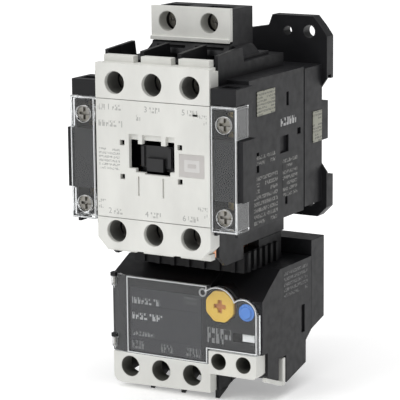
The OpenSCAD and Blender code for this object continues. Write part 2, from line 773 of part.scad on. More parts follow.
module relay_outline() {
    // seen from the side: depth and height
    side_profile([-relay_half, relay_split], [[12.5, -48.3], [38, -48.3], [47.2, -52.6],
        [relay_front, -53.4], [relay_front, -81.2], [45, -81.2], [45, -84], [31.2, -89.6],
        [16.6, -85.9], [16.6, -77.9], [12.5, -75]]);
    side_profile([relay_split, relay_half], [[12.5, -48.3], [36, -48.3], [44.5, -54],
        [relay_front, -57.2], [relay_front, -75.8], [45, -75.8], [45, -84.2], [31.2, -89.6],
        [16.6, -85.9], [16.6, -77.9], [12.5, -75]]);
    // dark body of the load terminals, deeper than the rest
    side_profile([-relay_half, relay_split + 0.8], [[20, -84], [31, -90.2], [45, -91.2], [45, -81.4],
        [30, -80]]);
    // barriers between the load terminals and at their right
    for (x = [relay_hole_x[0] + relay_pitch / 2, relay_hole_x[1] + relay_pitch / 2, relay_split])
        side_profile([x - 0.8, x + 0.8], [[31.2, -89], [44.9, -94.6], [44.9, -84], [31.2, -84]]);
}

module relay_housing() {
    color([0.15, 0.15, 0.16]) difference() {
        union() {
            relay_outline();
            // lugs that hold the hinge pins of the clear cover
            for (z = hinge_z)
                slab([hinge_x - 1, hinge_x + 1], [relay_front - 0.1, hinge_depth + 1],
                     [z + knuckle + 0.2, z + knuckle + 1.6]);
            // bosses that stand in the backs of the ivory terminal covers
            for (x = relay_hole_x) round_bar(x, relay_hole_z, relay_boss_r, [boss_back, boss_front]);
            for (x = relay_aux_x) round_bar(x, relay_aux_z, aux_boss_r, [boss_back, boss_front]);
            // hood bump over the dial
            round_bar(dial_x, dial_z, dial_d / 2 + 1.2, [40, relay_front]);
        }
        // inner space for the thermal and trip mechanism, open at the back
        side_profile([-relay_half + skin, relay_half - skin],
                     [[12, -51], [wall_depth, -51], [wall_depth, -77], [18, -77], [12, -72.5]]);
        // slots for the connector blades
        for (x = pole_x) slab([x - 3.4, x + 3.4], blade_slot, [-52, -47]);
        // load terminal pockets, open at the bottom
        for (x = relay_hole_x) {
            slab([x - 5.4, x + 5.4], [34, boss_back], [-94, -81.8]);
            slab([x - 3.6, x + 3.6], [32.4, 34.2], [-90, -76.9]);
            round_bar(x, relay_hole_z, 2, [28.5, 34]);
            round_bar(x, relay_hole_z, relay_hole_r, [boss_back - 1, boss_front + 1]);
        }
        // auxiliary terminal pockets
        for (x = relay_aux_x) {
            slab([x - 3.6, x + 3.6], [36, boss_back], [-92, -76.2]);
            slab([x - 2.8, x + 2.8], [34.6, 36.2], [-84, -72]);
            round_bar(x, relay_aux_z, 1.7, [32.5, 36]);
            round_bar(x, relay_aux_z, aux_hole_r, [boss_back - 1, boss_front + 1]);
        }
        // dial, reset button, trip window and test hole
        round_bar(dial_x, dial_z, dial_d / 2 + 0.3, [44.6, relay_front + 1]);
        round_bar(dial_x, dial_z, 2 + screw_gap, [wall_depth - 1, relay_front + 1]);
        round_bar(reset_x, reset_z, 3.25, [wall_depth - 1, relay_front + 1]);
        slab([flag_x - 5.6, flag_x + 2.8], [wall_depth - 1, relay_front + 1],
             [flag_z - 1.6, flag_z + 1.6]);
        round_bar(6.8, -56.2, 0.9, [45, relay_front + 1]);
        for (z = hinge_z) translate([hinge_x, -hinge_depth, z])
            cylinder(r = pin_r + screw_gap, h = knuckle + 1.35, $fn = 32);
        // flat seat of the nameplate
        slab([-22.6, 6.2], [relay_front - 0.3, relay_front + 1], [-80.2, -57.4]);
        // side recesses
        for (s = sides) slab([s * relay_half - 0.8, s * relay_half + 0.8], [17.5, 20], [-74.5, -64.5]);
        // notch that takes the white foot
        slab([relay_half - 2, relay_half + 1], [31.5, 37], [-92, -79.8]);
    }
}

module relay_neck() {
    color([0.13, 0.13, 0.14]) difference() {
        union() {
            slab([-21.8, 21.8], [20, 47], [-48.3, -41.3]);
            slab([-21.8, 21.8], [20, blade_slot[0]], [-41.4, -38.6]);
            for (x = [-18:6:18]) slab([x - 0.8, x + 0.8], [46.9, 48], [-48.2, -41.4]);
            // ribs down both sides
            for (s = sides, d = [24:4:44])
                slab([s * 22.2 - 0.6, s * 22.2 + 0.6], [d, d + 1.6], [-48.2, -41.4]);
        }
        for (x = pole_x) slab([x - 3.4, x + 3.4], blade_slot, [-49, -38]);
    }
}

module relay_load_cover() {
    x0 = -relay_half;
    x1 = relay_split - 0.2;
    color([0.90, 0.90, 0.87]) difference() {
        front_plate([45.1, 49.4], [[x0, -81.4], [x1, -81.4], [x1, -91.6], [x0 + 3.2, -92.7],
                                   [x0 + 1, -92], [x0, -90.4]]);
        for (x = relay_hole_x) {
            round_bar(x, relay_hole_z, relay_hole_r, [44, 50]);
            round_bar(x, relay_hole_z, relay_boss_r + screw_gap, [44, boss_front + screw_gap]);
        }
    }
}

module relay_aux_cover() {
    x0 = relay_split + 0.3;
    x1 = relay_half - 1;
    color([0.90, 0.90, 0.87]) difference() {
        front_plate([45.1, 51.4], [[x0, -75.9], [x1, -75.9], [x1, -82.9], [x1 - 1.2, -84],
                                   [x0, -84]]);
        for (x = relay_aux_x) {
            round_bar(x, relay_aux_z, aux_hole_r, [44, 52]);
            round_bar(x, relay_aux_z, aux_boss_r + screw_gap, [44, boss_front + screw_gap]);
        }
    }
}

module relay_nameplate() {
    color([0.36, 0.36, 0.38]) slab([-22.5, 6.1], [relay_front - 0.3, relay_front + 0.1], [-80.1, -57.5]);
    color([0.70, 0.70, 0.70]) {
        for (z = [-63.8, -75.6])
            slab([-22.4, 6], [relay_front + 0.05, relay_front + 0.2], [z - 0.15, z + 0.15]);
    }
}

module connector_blades() {
    t = 1.2;
    back = blade_slot[0] + 0.2;
    color([0.78, 0.48, 0.28]) for (x = pole_x) difference() {
        side_profile([x - 3.2, x + 3.2],
                     [[56.1 + t, -31.5], [56.1 + t, -41.2], [back + t, -41.2], [back + t, -54],
                      [back, -54], [back, -41.2 + t], [56.1, -41.2 + t], [56.1, -31.5]]);
        round_bar(x, pole_z - screw_off, 2.6, [55, 58]);
    }
}

module bimetal_strips() {
    color([0.72, 0.68, 0.60]) for (x = relay_hole_x)
        slab([x - 0.5, x + 0.5], [24, 31], bimetal_z);
}

module heater_strips() {
    // ribbon wound round each bimetal strip
    color([0.70, 0.52, 0.34]) for (x = relay_hole_x, k = [0:4]) difference() {
        z = -75 + 3 * k;
        slab([x - 1.5, x + 1.5], [23, 32], [z, z + 1.4]);
        slab([x - 1, x + 1], [23.5, 31.5], [z - 1, z + 3]);
    }
}

module relay_load_terminals() {
    color([0.78, 0.66, 0.36]) for (x = relay_hole_x) difference() {
        slab([x - 3.5, x + 3.5], [32.5, 34.1], [-89.9, -77.2]);
        round_bar(x, relay_hole_z, 1.75 + screw_gap, [32, 35]);
    }
}

module relay_load_screws() {
    color([0.60, 0.58, 0.52]) for (x = relay_hole_x) {
        slotted_screw(x, relay_hole_z, 1.75, 3.4, 29, 37.4, 39.8);
        difference() {
            slab([x - 4, x + 4], [36.3, 37.3], [relay_hole_z - 3.6, relay_hole_z + 3.6]);
            round_bar(x, relay_hole_z, 1.75 + screw_gap, [36, 38]);
        }
    }
}

module relay_aux_terminals() {
    color([0.78, 0.66, 0.36]) for (x = relay_aux_x) difference() {
        slab([x - 2.7, x + 2.7], [34.7, 36.1], [-83.9, -72.2]);
        round_bar(x, relay_aux_z, 1.5 + screw_gap, [34, 37]);
    }
}

module relay_aux_screws() {
    color([0.60, 0.58, 0.52]) for (x = relay_aux_x)
        slotted_screw(x, relay_aux_z, 1.5, 2.8, 33, 39, 41.2);
}

module trip_slider() {
    // a bar over the tops of the bimetal strips, with a finger beside each one
    color([0.80, 0.78, 0.70]) union() {
        slab([-26, 15], [25, 30], [-54.6, -52.2]);
        for (x = relay_hole_x) slab([x + 0.9, x + 2.1], [25, 30], [-58.5, -54.5]);
    }
}

module trip_indicator() {
    color([0.92, 0.92, 0.92]) union() {
        slab([flag_x - 2.4, flag_x + 2.4], [44, 48], [flag_z - 1.3, flag_z + 1.3]);
        slab([flag_x - 1, flag_x + 1], [30.5, 44.1], [flag_z - 0.8, flag_z + 0.8]);
    }
}

module current_dial() {
    // round head with eight flats and a cross slot, on a round shaft
    arm = 2.3;
    slot = 0.8;
    color([0.88, 0.68, 0.25]) difference() {
        union() {
            intersection() {
                translate([dial_x, -44.8, dial_z]) rotate([90, 0, 0]) rotate([0, 0, 22.5])
                    cylinder(r = dial_d / 2, h = 5, $fn = 8);
                round_bar(dial_x, dial_z, dial_d / 2 - 0.2, [44, 50]);
            }
            round_bar(dial_x, dial_z, 2, [34, 45]);
        }
        slab([dial_x - arm, dial_x + arm], [48.6, 51], [dial_z - slot, dial_z + slot]);
        slab([dial_x - slot, dial_x + slot], [48.6, 51], [dial_z - arm, dial_z + arm]);
    }
}

module dial_cam() {
    color([0.85, 0.85, 0.80]) difference() {
        union() {
            round_bar(dial_x, dial_z, 3.6, [34.5, 37.5]);
            round_bar(dial_x + 1.4, dial_z, 3.4, [34.5, 37.5]);
        }
        round_bar(dial_x, dial_z, 2 + screw_gap, [33, 39]);
    }
}

module reset_button() {
    color([0.15, 0.42, 0.82]) union() {
        round_bar(reset_x, reset_z, 3.1, [41, 48.9]);
        round_bar(reset_x, reset_z, 2.1, [48.8, 49.6]);
        round_bar(reset_x, reset_z, 3.8, [reset_seat, reset_seat + 1.6]);
        round_bar(reset_x, reset_z, 1.4, [25, 41.5]);
    }
}

module reset_spring() {
    color([0.75, 0.75, 0.77]) deep_spring(reset_x, reset_z, 2, 0.3, 6, [28.2, reset_seat - 0.1]);
}

module relay_clear_cover() {
    // scalloped sheet in front of the dial and the reset button, bevelled at the hinge side
    t = 1;
    f = 50.4;
    edge = 29.2;
    bottom = -80.8;
    top = -52.9;
    low = -75.4;
    color([0.82, 0.86, 0.88, 0.35]) difference() {
        union() {
            slab([-22.9, relay_split], [f, f + t], [bottom, top]);
            slab([relay_split - 0.1, edge], [f, f + t], [low, -60.6]);
            difference() {
                union() {
                    round_bar(dial_x, dial_z, 7.3, [f, f + t]);
                    round_bar(reset_x, reset_z, 5.4, [f, f + t]);
                }
                slab([relay_split - 9, 40], [f - 1, f + 3], [top, top + 9]);
            }
            // bevelled strip down to the hinge
            translate([0, 0, bottom]) linear_extrude(top - bottom)
                polygon([[-22.9, -f - t], [-29.3, -50], [-29.3, -49.1], [-22.9, -f]]);
            // knuckles round the hinge line
            for (z = hinge_z) translate([hinge_x, -hinge_depth, z])
                cylinder(r = 1, h = knuckle, $fn = 32);
            // return flange along the right side
            slab([edge - t, edge], [relay_front + 0.3, f + 0.1], [low, -61.5]);
        }
        for (z = hinge_z) translate([hinge_x, -hinge_depth, z - 1])
            cylinder(r = pin_r + screw_gap, h = knuckle + 2, $fn = 32);
        // gaps for the housing's hinge lugs
        for (z = hinge_z) slab([-31, hinge_x + 1.6], [48, 52], [z + knuckle, z + knuckle + 1.8]);
    }
}

module hinge_pins() {
    color([0.70, 0.70, 0.72]) for (z = hinge_z) translate([hinge_x, -hinge_depth, z + 0.3])
        cylinder(r = pin_r, h = knuckle + 1, $fn = 32);
}

module relay_foot() {
    // upright at the side of the relay with a bar that runs forward under the housing
    color([0.90, 0.90, 0.87]) side_profile([relay_half - 1.9, relay_half], [[32, -80.4], [34, -80.4],
        [34, -88.7], [45.6, -84.5], [45.6, -86.1], [34.2, -90.3], [32, -90.3]]);
}

base_frame();
arc_housing();
front_cover();
line_shroud();
load_shroud();
fixed_core();
shading_rings();
core_cushions();
coil_bobbin();
coil_winding();
return_springs();
crossbar();
screw_guides();
moving_core();
contact_bridges();
contact_springs();
line_contacts();
load_contacts();
line_screws();
load_screws();
line_clamps();
load_clamps();
arc_plates();
coil_terminal_block();
coil_terminal_cover();
coil_terminals();
coil_screws();
aux_block_left();
aux_block_right();
aux_terminals();
aux_screws();
aux_bridges();
aux_cover_left();
aux_cover_right();
housing_screws();
rail_latch();
latch_spring();
side_labels();
relay_back();
relay_housing();
relay_neck();
relay_load_cover();
relay_aux_cover();
relay_nameplate();
connector_blades();
bimetal_strips();
heater_strips();
relay_load_terminals();
relay_load_screws();
relay_aux_terminals();
relay_aux_screws();
trip_slider();
trip_indicator();
current_dial();
dial_cam();
reset_button();
reset_spring();
relay_clear_cover();
hinge_pins();
relay_foot();
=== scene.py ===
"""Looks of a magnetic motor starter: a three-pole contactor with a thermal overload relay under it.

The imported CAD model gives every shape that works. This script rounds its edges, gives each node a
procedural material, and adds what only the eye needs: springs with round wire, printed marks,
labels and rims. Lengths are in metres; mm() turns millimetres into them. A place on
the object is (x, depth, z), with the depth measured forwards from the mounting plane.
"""
import json
import math

import bmesh
import bpy
from mathutils import Matrix, Quaternion, Vector


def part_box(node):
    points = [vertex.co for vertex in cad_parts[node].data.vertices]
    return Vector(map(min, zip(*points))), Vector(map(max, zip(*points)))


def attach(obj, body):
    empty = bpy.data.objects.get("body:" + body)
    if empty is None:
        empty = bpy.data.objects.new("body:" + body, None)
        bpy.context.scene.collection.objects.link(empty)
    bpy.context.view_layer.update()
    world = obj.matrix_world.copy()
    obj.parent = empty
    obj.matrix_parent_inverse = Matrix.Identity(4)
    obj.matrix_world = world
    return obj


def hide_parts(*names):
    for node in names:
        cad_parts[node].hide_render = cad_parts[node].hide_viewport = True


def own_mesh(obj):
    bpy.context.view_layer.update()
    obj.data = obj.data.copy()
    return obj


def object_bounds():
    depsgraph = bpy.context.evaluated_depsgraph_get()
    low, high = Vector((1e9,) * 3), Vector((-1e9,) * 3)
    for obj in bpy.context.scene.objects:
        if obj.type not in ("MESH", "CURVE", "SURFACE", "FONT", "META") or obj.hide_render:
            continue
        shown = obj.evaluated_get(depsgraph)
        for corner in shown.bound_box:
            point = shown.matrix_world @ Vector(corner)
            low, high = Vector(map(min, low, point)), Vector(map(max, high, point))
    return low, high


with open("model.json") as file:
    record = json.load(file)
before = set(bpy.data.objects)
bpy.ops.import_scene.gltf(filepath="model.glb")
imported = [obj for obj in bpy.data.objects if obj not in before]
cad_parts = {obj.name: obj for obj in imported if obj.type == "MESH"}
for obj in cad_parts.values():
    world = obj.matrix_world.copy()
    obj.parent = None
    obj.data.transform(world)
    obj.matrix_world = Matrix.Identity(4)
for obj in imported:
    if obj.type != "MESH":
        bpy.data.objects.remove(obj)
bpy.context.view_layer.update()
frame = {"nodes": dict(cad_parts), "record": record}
nodes = frame["nodes"]


def mm(length):
    return length * 0.001


def point(x, depth, z):
    """A place given in millimetres, as a vector in the row frame."""
    return Vector((mm(x), mm(-depth), mm(z)))


# ---------------------------------------------------------------- materials


class Paint:
    """One procedural material: a Principled shader and the nodes that drive it.

    Coordinates are the object's own, in metres, so a pattern keeps its real size.
    """

    def __init__(self, name, **constants):
        self.material = bpy.data.materials.new(name)
        self.material.use_nodes = True
        self.tree = self.material.node_tree
        self.shader = self.tree.nodes["Principled BSDF"]
        self.place = self.node("ShaderNodeTexCoord").outputs["Object"]
        for socket, value in constants.items():
            self.put(self.shader, socket.replace("_", " "), value)

    def node(self, kind, **settings):
        made = self.tree.nodes.new(kind)
        for name, value in settings.items():
            setattr(made, name, value)
        return made

    def put(self, node, socket, value):
        """Sets an input to a constant, or links another node's output to it."""
        if isinstance(value, bpy.types.NodeSocket):
            self.tree.links.new(value, node.inputs[socket])
        else:
            node.inputs[socket].default_value = value

    def math(self, operation, *values):
        made = self.node("ShaderNodeMath", operation=operation)
        for i, value in enumerate(values):
            self.put(made, i, value)
        return made.outputs[0]

    def axis(self, letter, vector=None):
        split = self.node("ShaderNodeSeparateXYZ")
        self.put(split, 0, vector or self.place)
        return split.outputs[letter]

    def vector(self, x, y, z):
        made = self.node("ShaderNodeCombineXYZ")
        for i, value in enumerate((x, y, z)):
            self.put(made, i, value)
        return made.outputs[0]

    def stretched(self, x=1.0, y=1.0, z=1.0):
        made = self.node("ShaderNodeMapping")
        self.put(made, "Vector", self.place)
        self.put(made, "Scale", (x, y, z))
        return made.outputs[0]

    def noise(self, size, detail=3.0, roughness=0.5, at=None):
        """Cloudy noise with blobs about size metres wide."""
        made = self.node("ShaderNodeTexNoise")
        self.put(made, "Vector", at or self.place)
        self.put(made, "Scale", 1 / size)
        self.put(made, "Detail", detail)
        self.put(made, "Roughness", roughness)
        return made.outputs["Fac"]

    def specks(self, size, share):
        """1 inside scattered specks about size metres wide, 0 elsewhere."""
        made = self.node("ShaderNodeTexVoronoi")
        self.put(made, "Vector", self.place)
        self.put(made, "Scale", 1 / size)
        return self.span(made.outputs["Distance"], share, share * 0.6)

    def span(self, value, low, high, out_low=0.0, out_high=1.0):
        """value brought from low..high to out_low..out_high, and held there."""
        made = self.node("ShaderNodeMapRange")
        for socket, number in zip(range(5), (value, low, high, out_low, out_high)):
            self.put(made, socket, number)
        return made.outputs[0]

    def blend(self, factor, first, second):
        made = self.node("ShaderNodeMix", data_type="RGBA")
        self.put(made, 0, factor)
        for socket, colour in ((6, first), (7, second)):
            self.put(made, socket, colour if isinstance(colour, bpy.types.NodeSocket) else (*colour, 1))
        return made.outputs[2]

    def edges(self, radius):
        """1 along sharp outer and inner edges within radius, 0 on open faces."""
        rounded = self.node("ShaderNodeBevel", samples=4)
        self.put(rounded, "Radius", radius)
        true = self.node("ShaderNodeNewGeometry").outputs["Normal"]
        dot = self.node("ShaderNodeVectorMath", operation="DOT_PRODUCT")
        self.put(dot, 0, rounded.outputs[0])
        self.put(dot, 1, true)
        return self.span(dot.outputs["Value"], 0.995, 0.85)

    def bump(self, height, depth, strength=1.0):
        """Relief of depth metres where height goes from 0 to 1, added to what is there."""
        made = self.node("ShaderNodeBump")
        self.put(made, "Height", height)
        self.put(made, "Distance", depth)
        self.put(made, "Strength", strength)
        old = self.shader.inputs["Normal"].links
        if old:
            self.put(made, "Normal", old[0].from_socket)
        self.put(self.shader, "Normal", made.outputs[0])

    def colour(self, value):
        self.put(self.shader, "Base Color", value)

    def rough(self, value):
        self.put(self.shader, "Roughness", value)


IVORY = (0.70, 0.70, 0.665)
BLACK = (0.011, 0.011, 0.0125)
PLATE = (0.034, 0.034, 0.039)
DULL = {"Specular_IOR_Level": 0.24}


def tint(colour, factor):
    return tuple(min(1.0, c * factor) for c in colour)


def moulded(name, colour, rough=(0.38, 0.5), grain=mm(0.25), relief=mm(0.004), edge_wear_and_highlight=1.25, fleck=0.0,
            **constants):
    """Moulded plastic: slow tone changes from the flow, a spark-eroded grain, paler edges of wear and
    painted highlight.
    """
    paint = Paint(name, **constants)
    flow = paint.noise(mm(9), detail=4, at=paint.stretched(1, 1, 0.45))
    base = paint.blend(paint.span(flow, 0.3, 0.7), tint(colour, 0.93), tint(colour, 1.05))
    if fleck:
        base = paint.blend(paint.math("MULTIPLY", paint.specks(mm(0.45), 0.16), fleck), base,
                           tint(colour, 2.4))
    # Paler edges, patchy along their length: partly wear, partly a painted highlight along the edges.
    worn_and_lit_edges = paint.math("MULTIPLY", paint.edges(mm(0.35)), paint.span(paint.noise(mm(1.6)), 0.35, 0.65))
    base = paint.blend(paint.math("MULTIPLY", worn_and_lit_edges, 0.7), base, tint(colour, edge_wear_and_highlight))
    paint.colour(base)
    paint.rough(paint.span(paint.noise(mm(3), detail=5), 0.3, 0.7, *rough))
    paint.bump(paint.noise(grain, detail=2), relief)
    paint.bump(paint.noise(mm(14), detail=1), mm(0.05), 0.35)
    return paint


def metal(name, colour, rough=(0.22, 0.4), brushed=(1, 1, 1), stain=None, relief=mm(0.003)):
    """Metal with a directional finish and, where stain is given, patches of another colour."""
    paint = Paint(name, Metallic=1.0)
    streaks = paint.noise(mm(0.3), detail=3, at=paint.stretched(*brushed))
    base = paint.blend(paint.span(streaks, 0.3, 0.7), tint(colour, 0.86), tint(colour, 1.08))
    if stain:
        patches = paint.span(paint.noise(mm(1.8), detail=4), 0.45, 0.68)
        base = paint.blend(paint.math("MULTIPLY", patches, 0.6), base, stain)
    paint.colour(base)
    paint.rough(paint.span(paint.noise(mm(0.9), detail=4), 0.3, 0.7, *rough))
    paint.bump(streaks, relief)
    return paint


def zinc_paint():
    """Zinc-plated steel, dulled in patches and finely pitted."""
    paint = metal("zinc_steel", (0.31, 0.30, 0.28), rough=(0.28, 0.44), stain=(0.24, 0.22, 0.17))
    paint.bump(paint.specks(mm(0.22), 0.2), mm(0.004))
    return paint


def laminated(name, colour):
    """Magnet steel made of thin sheets stacked along Z."""
    paint = metal(name, colour, rough=(0.3, 0.45), brushed=(0.2, 0.2, 3))
    sheet = paint.math("FRACT", paint.math("DIVIDE", paint.axis("Z"), mm(0.5)))
    gap = paint.span(sheet, 0.86, 0.97)
    old = paint.shader.inputs["Base Color"].links[0].from_socket
    paint.colour(paint.blend(gap, old, tint(colour, 0.25)))
    paint.bump(paint.math("SUBTRACT", 1.0, gap), mm(0.04))
    return paint


def enamelled_winding():
    """Coil of enamelled wire laid in rows across the depth."""
    paint = Paint("winding_copper", Metallic=0.85, Coat_Weight=0.6, Coat_Roughness=0.15)
    turn = paint.math("PINGPONG", paint.math("DIVIDE", paint.axis("Y"), mm(0.36)), 0.5)
    crown = paint.math("SQRT", paint.math("MULTIPLY", turn, 2.0))
    shade = paint.noise(mm(1.2), detail=3)
    copper = paint.blend(paint.span(shade, 0.3, 0.7), (0.42, 0.16, 0.06), (0.66, 0.30, 0.13))
    # Nearly black between the turns: painted shade in the grooves between the wires.
    paint.colour(paint.blend(paint.span(crown, 0.0, 0.6), (0.08, 0.03, 0.015), copper))
    paint.rough(paint.span(shade, 0.3, 0.7, 0.25, 0.4))
    paint.bump(crown, mm(0.12))
    return paint


def clear(name, colour, haze=0.03, highlight_white=0.0):
    """Clear moulded plastic. Lamps shine straight through it; the last argument makes it whiter, a
    painted highlight for bright edge lines.
    """
    paint = Paint(name, IOR=1.38, Transmission_Weight=1.0 - highlight_white)
    flow = paint.noise(mm(5), detail=3, at=paint.stretched(1, 1, 0.3))
    paint.colour(paint.blend(paint.span(flow, 0.3, 0.7), tint(colour, 0.97), colour))
    paint.rough(paint.span(paint.noise(mm(2), detail=4), 0.35, 0.7, haze, haze + 0.05))
    paint.bump(paint.noise(mm(5), detail=2), mm(0.10))
    paint.bump(paint.noise(mm(0.5), detail=2), mm(0.003))
    straight = paint.node("ShaderNodeBsdfTransparent")
    paint.put(straight, "Color", (0.9, 0.92, 0.93, 1))
    lamp = paint.node("ShaderNodeLightPath").outputs["Is Shadow Ray"]
    both = paint.node("ShaderNodeMixShader")
    paint.put(both, 0, lamp)
    paint.tree.links.new(paint.shader.outputs[0], both.inputs[1])
    paint.tree.links.new(straight.outputs[0], both.inputs[2])
    paint.tree.links.new(both.outputs[0], paint.tree.nodes["Material Output"].inputs["Surface"])
    return paint


def script_marks(paint, across, up, letter, line, gaps=0.3):
    """1 on rows of unreadable marks, like print too small to read. across and up are coordinates.

    gaps is the share of the words that is left out.
    """
    column = paint.math("DIVIDE", across, letter)
    row = paint.math("DIVIDE", up, line)
    word = paint.node("ShaderNodeTexWhiteNoise")
    paint.put(word, "Vector", paint.vector(paint.math("FLOOR", paint.math("MULTIPLY", column, 0.23)),
                                           paint.math("FLOOR", row), 0.0))
    stroke = paint.node("ShaderNodeTexWhiteNoise")
    paint.put(stroke, "Vector", paint.vector(paint.math("FLOOR", paint.math("MULTIPLY", column, 3.0)),
                                             paint.math("FLOOR", paint.math("MULTIPLY", row, 5.0)), 1.0))
    in_letter = paint.math("LESS_THAN", paint.math("FRACT", column), 0.74)
    in_line = paint.math("LESS_THAN", paint.math("FRACT", row), 0.62)
    inked = paint.math("GREATER_THAN", stroke.outputs["Value"], 0.42)
    kept = paint.math("GREATER_THAN", word.outputs["Value"], gaps)
    both = paint.math("MULTIPLY", in_letter, in_line)
    return paint.math("MULTIPLY", paint.math("MULTIPLY", both, inked), kept)


def printed(name, ground, ink, across, up, letter=mm(0.62), line=mm(1.15), start=0.0, gaps=0.3):
    """A printed film with rows of unreadable marks. start is the height of the lowest row."""
    gloss = DULL if ground in (BLACK, PLATE) else {}
    paint = moulded(name, ground, rough=(0.36, 0.5), relief=mm(0.001), edge_wear_and_highlight=1.1, **gloss)
    height = paint.math("SUBTRACT", paint.axis(up), start)
    marks = script_marks(paint, paint.axis(across), height, letter, line, gaps)
    old = paint.shader.inputs["Base Color"].links[0].from_socket
    paint.colour(paint.blend(marks, old, ink))
    return paint


def dial_paint():
    """Amber dial: bright head, a darker burnt-orange in its cross slot and further back, which is painted
    shade.
    """
    paint = moulded("dial_amber", (0.82, 0.52, 0.055), rough=(0.28, 0.4), edge_wear_and_highlight=1.15,
                    Coat_Weight=0.2, Coat_Roughness=0.2)
    slot_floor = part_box("current_dial")[0].y + mm(0.6)
    # Darker from 0.6 mm to 1.1 mm behind the front face: painted shade in the cross slot.
    slot_shade = paint.span(paint.axis("Y"), slot_floor, slot_floor + mm(0.5))
    old = paint.shader.inputs["Base Color"].links[0].from_socket
    paint.colour(paint.blend(slot_shade, old, (0.55, 0.20, 0.03)))
    return paint


def bimetal_paint():
    paint = metal("bimetal", (0.60, 0.57, 0.50), brushed=(1, 1, 0.1))
    side = paint.math("FRACT", paint.math("DIVIDE", paint.axis("X"), mm(1.0)))
    old = paint.shader.inputs["Base Color"].links[0].from_socket
    paint.colour(paint.blend(paint.span(side, 0.45, 0.55), old, (0.50, 0.44, 0.36)))
    return paint


paints = {
    "ivory_plastic": moulded("ivory_plastic", IVORY, rough=(0.42, 0.56), edge_wear_and_highlight=1.03),
    "black_plastic": moulded("black_plastic", BLACK, rough=(0.36, 0.5), edge_wear_and_highlight=2.2, fleck=0.3, **DULL),
    "actuator_plastic": moulded("actuator_plastic", (0.008, 0.008, 0.009), rough=(0.34, 0.46), edge_wear_and_highlight=2.5),
    "clear_plastic": clear("clear_plastic", (0.97, 0.98, 0.985)),
    "core_steel": laminated("core_steel", (0.52, 0.52, 0.54)),
    "copper": metal("copper", (0.78, 0.42, 0.26), brushed=(0.3, 1, 1), stain=(0.50, 0.25, 0.16)),
    "winding_copper": enamelled_winding(),
    "brass": metal("brass", (0.76, 0.60, 0.30), brushed=(1, 1, 0.3), stain=(0.55, 0.42, 0.22)),
    "zinc_steel": zinc_paint(),
    "spring_steel": metal("spring_steel", (0.60, 0.60, 0.62), rough=(0.18, 0.3)),
    "bobbin_plastic": moulded("bobbin_plastic", (0.60, 0.54, 0.40), rough=(0.4, 0.5)),
    "cushion_rubber": moulded("cushion_rubber", (0.03, 0.03, 0.03), rough=(0.7, 0.85)),
    "label_film": printed("label_film", (0.30, 0.30, 0.24), (0.04, 0.04, 0.04), "Y", "Z"),
    "nameplate_grey": moulded("nameplate_grey", PLATE, rough=(0.36, 0.46), edge_wear_and_highlight=1.5, **DULL),
    "bimetal": bimetal_paint(),
    "heater_alloy": metal("heater_alloy", (0.50, 0.40, 0.30), stain=(0.30, 0.26, 0.34)),
    "slider_plastic": moulded("slider_plastic", (0.60, 0.57, 0.48)),
    "indicator_white": moulded("indicator_white", (0.86, 0.86, 0.85), edge_wear_and_highlight=1.0),
    "dial_amber": dial_paint(),
    "reset_blue": moulded("reset_blue", (0.05, 0.22, 0.68), rough=(0.26, 0.38), edge_wear_and_highlight=1.4,
                          Coat_Weight=0.2, Coat_Roughness=0.15),
}

# ---------------------------------------------------------------- CAD nodes

EDGE_ANGLE = math.radians(32)
FLAT_ANGLE = math.radians(0.5)


def round_edges(obj, width, segments=2, edge_slot=None):
    """Joins split points and coplanar triangles, then rounds every sharp edge by width."""
    weld = obj.modifiers.new("weld", "WELD")
    weld.merge_threshold = mm(0.002)
    whole = obj.modifiers.new("whole_faces", "DECIMATE")
    whole.decimate_type = "DISSOLVE"
    whole.angle_limit = FLAT_ANGLE
    if width:
        bevel = obj.modifiers.new("bevel", "BEVEL")
        bevel.width = width
        bevel.segments = segments
        bevel.limit_method = "ANGLE"
        bevel.angle_limit = EDGE_ANGLE
        bevel.use_clamp_overlap = True
        bevel.miter_outer = "MITER_SHARP"
        if edge_slot is not None:
            bevel.material = edge_slot
    smooth = obj.modifiers.new("normals", "WEIGHTED_NORMAL")
    smooth.keep_sharp = True
    smooth.weight = 80


def smooth_faces(obj):
    """Smooth shading everywhere; the modifiers keep flat faces flat."""
    mesh = obj.data
    if "custom_normal" in mesh.attributes:
        mesh.attributes.remove(mesh.attributes["custom_normal"])
    mesh.polygons.foreach_set("use_smooth", [True] * len(mesh.polygons))


slots = {row["node"]: row["material_slot"] for row in frame["record"]["subparts"]}
bodies = {node: body for body, members in frame["record"]["behaviour"]["bodies"].items()
          for node in members}
EDGE_WIDTH = {"ivory_plastic": mm(0.28), "black_plastic": mm(0.2), "clear_plastic": mm(0.22),
              "actuator_plastic": mm(0.25), "label_film": mm(0.04), "nameplate_grey": mm(0.04),
              "spring_steel": 0, "dial_amber": mm(0.3), "reset_blue": mm(0.35)}
# Whiter, less clear plastic on the rounded edges of the clear covers: a painted highlight for their
# bright lines.
clear_edge_highlight = clear("clear_edge_highlight", (0.97, 0.98, 0.985), highlight_white=0.6)

# The screw guide tubes are painted dark grey: painted shade on the walls of the terminal screw holes.
NODE_PAINTS = {"screw_guides": moulded("guide_shade_grey", (0.16, 0.16, 0.15), rough=(0.45, 0.6)),
               "relay_neck": moulded("neck_plastic", (0.005, 0.005, 0.006), rough=(0.45, 0.6), **DULL)}

for name, obj in nodes.items():
    slot = slots[name]
    obj.data.materials.clear()
    obj.data.materials.append(NODE_PAINTS.get(name, paints[slot]).material)
    smooth_faces(obj)
    # Clear covers get the painted-highlight plastic on their rounded edges.
    if slot == "clear_plastic":
        obj.data.materials.append(clear_edge_highlight.material)
        round_edges(obj, EDGE_WIDTH[slot], edge_slot=1)
    else:
        round_edges(obj, EDGE_WIDTH.get(slot, mm(0.1)))

# ---------------------------------------------------------------- new pieces


def piece(name, mesh, paint, body, smooth=True):
    """A finished mesh as a piece of the object that rides on a body."""
    made = bpy.data.objects.new(name, mesh)
    bpy.context.scene.collection.objects.link(made)
    mesh.materials.append(paint.material)
    if smooth:
        mesh.polygons.foreach_set("use_smooth", [True] * len(mesh.polygons))
    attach(made, body)
    return made


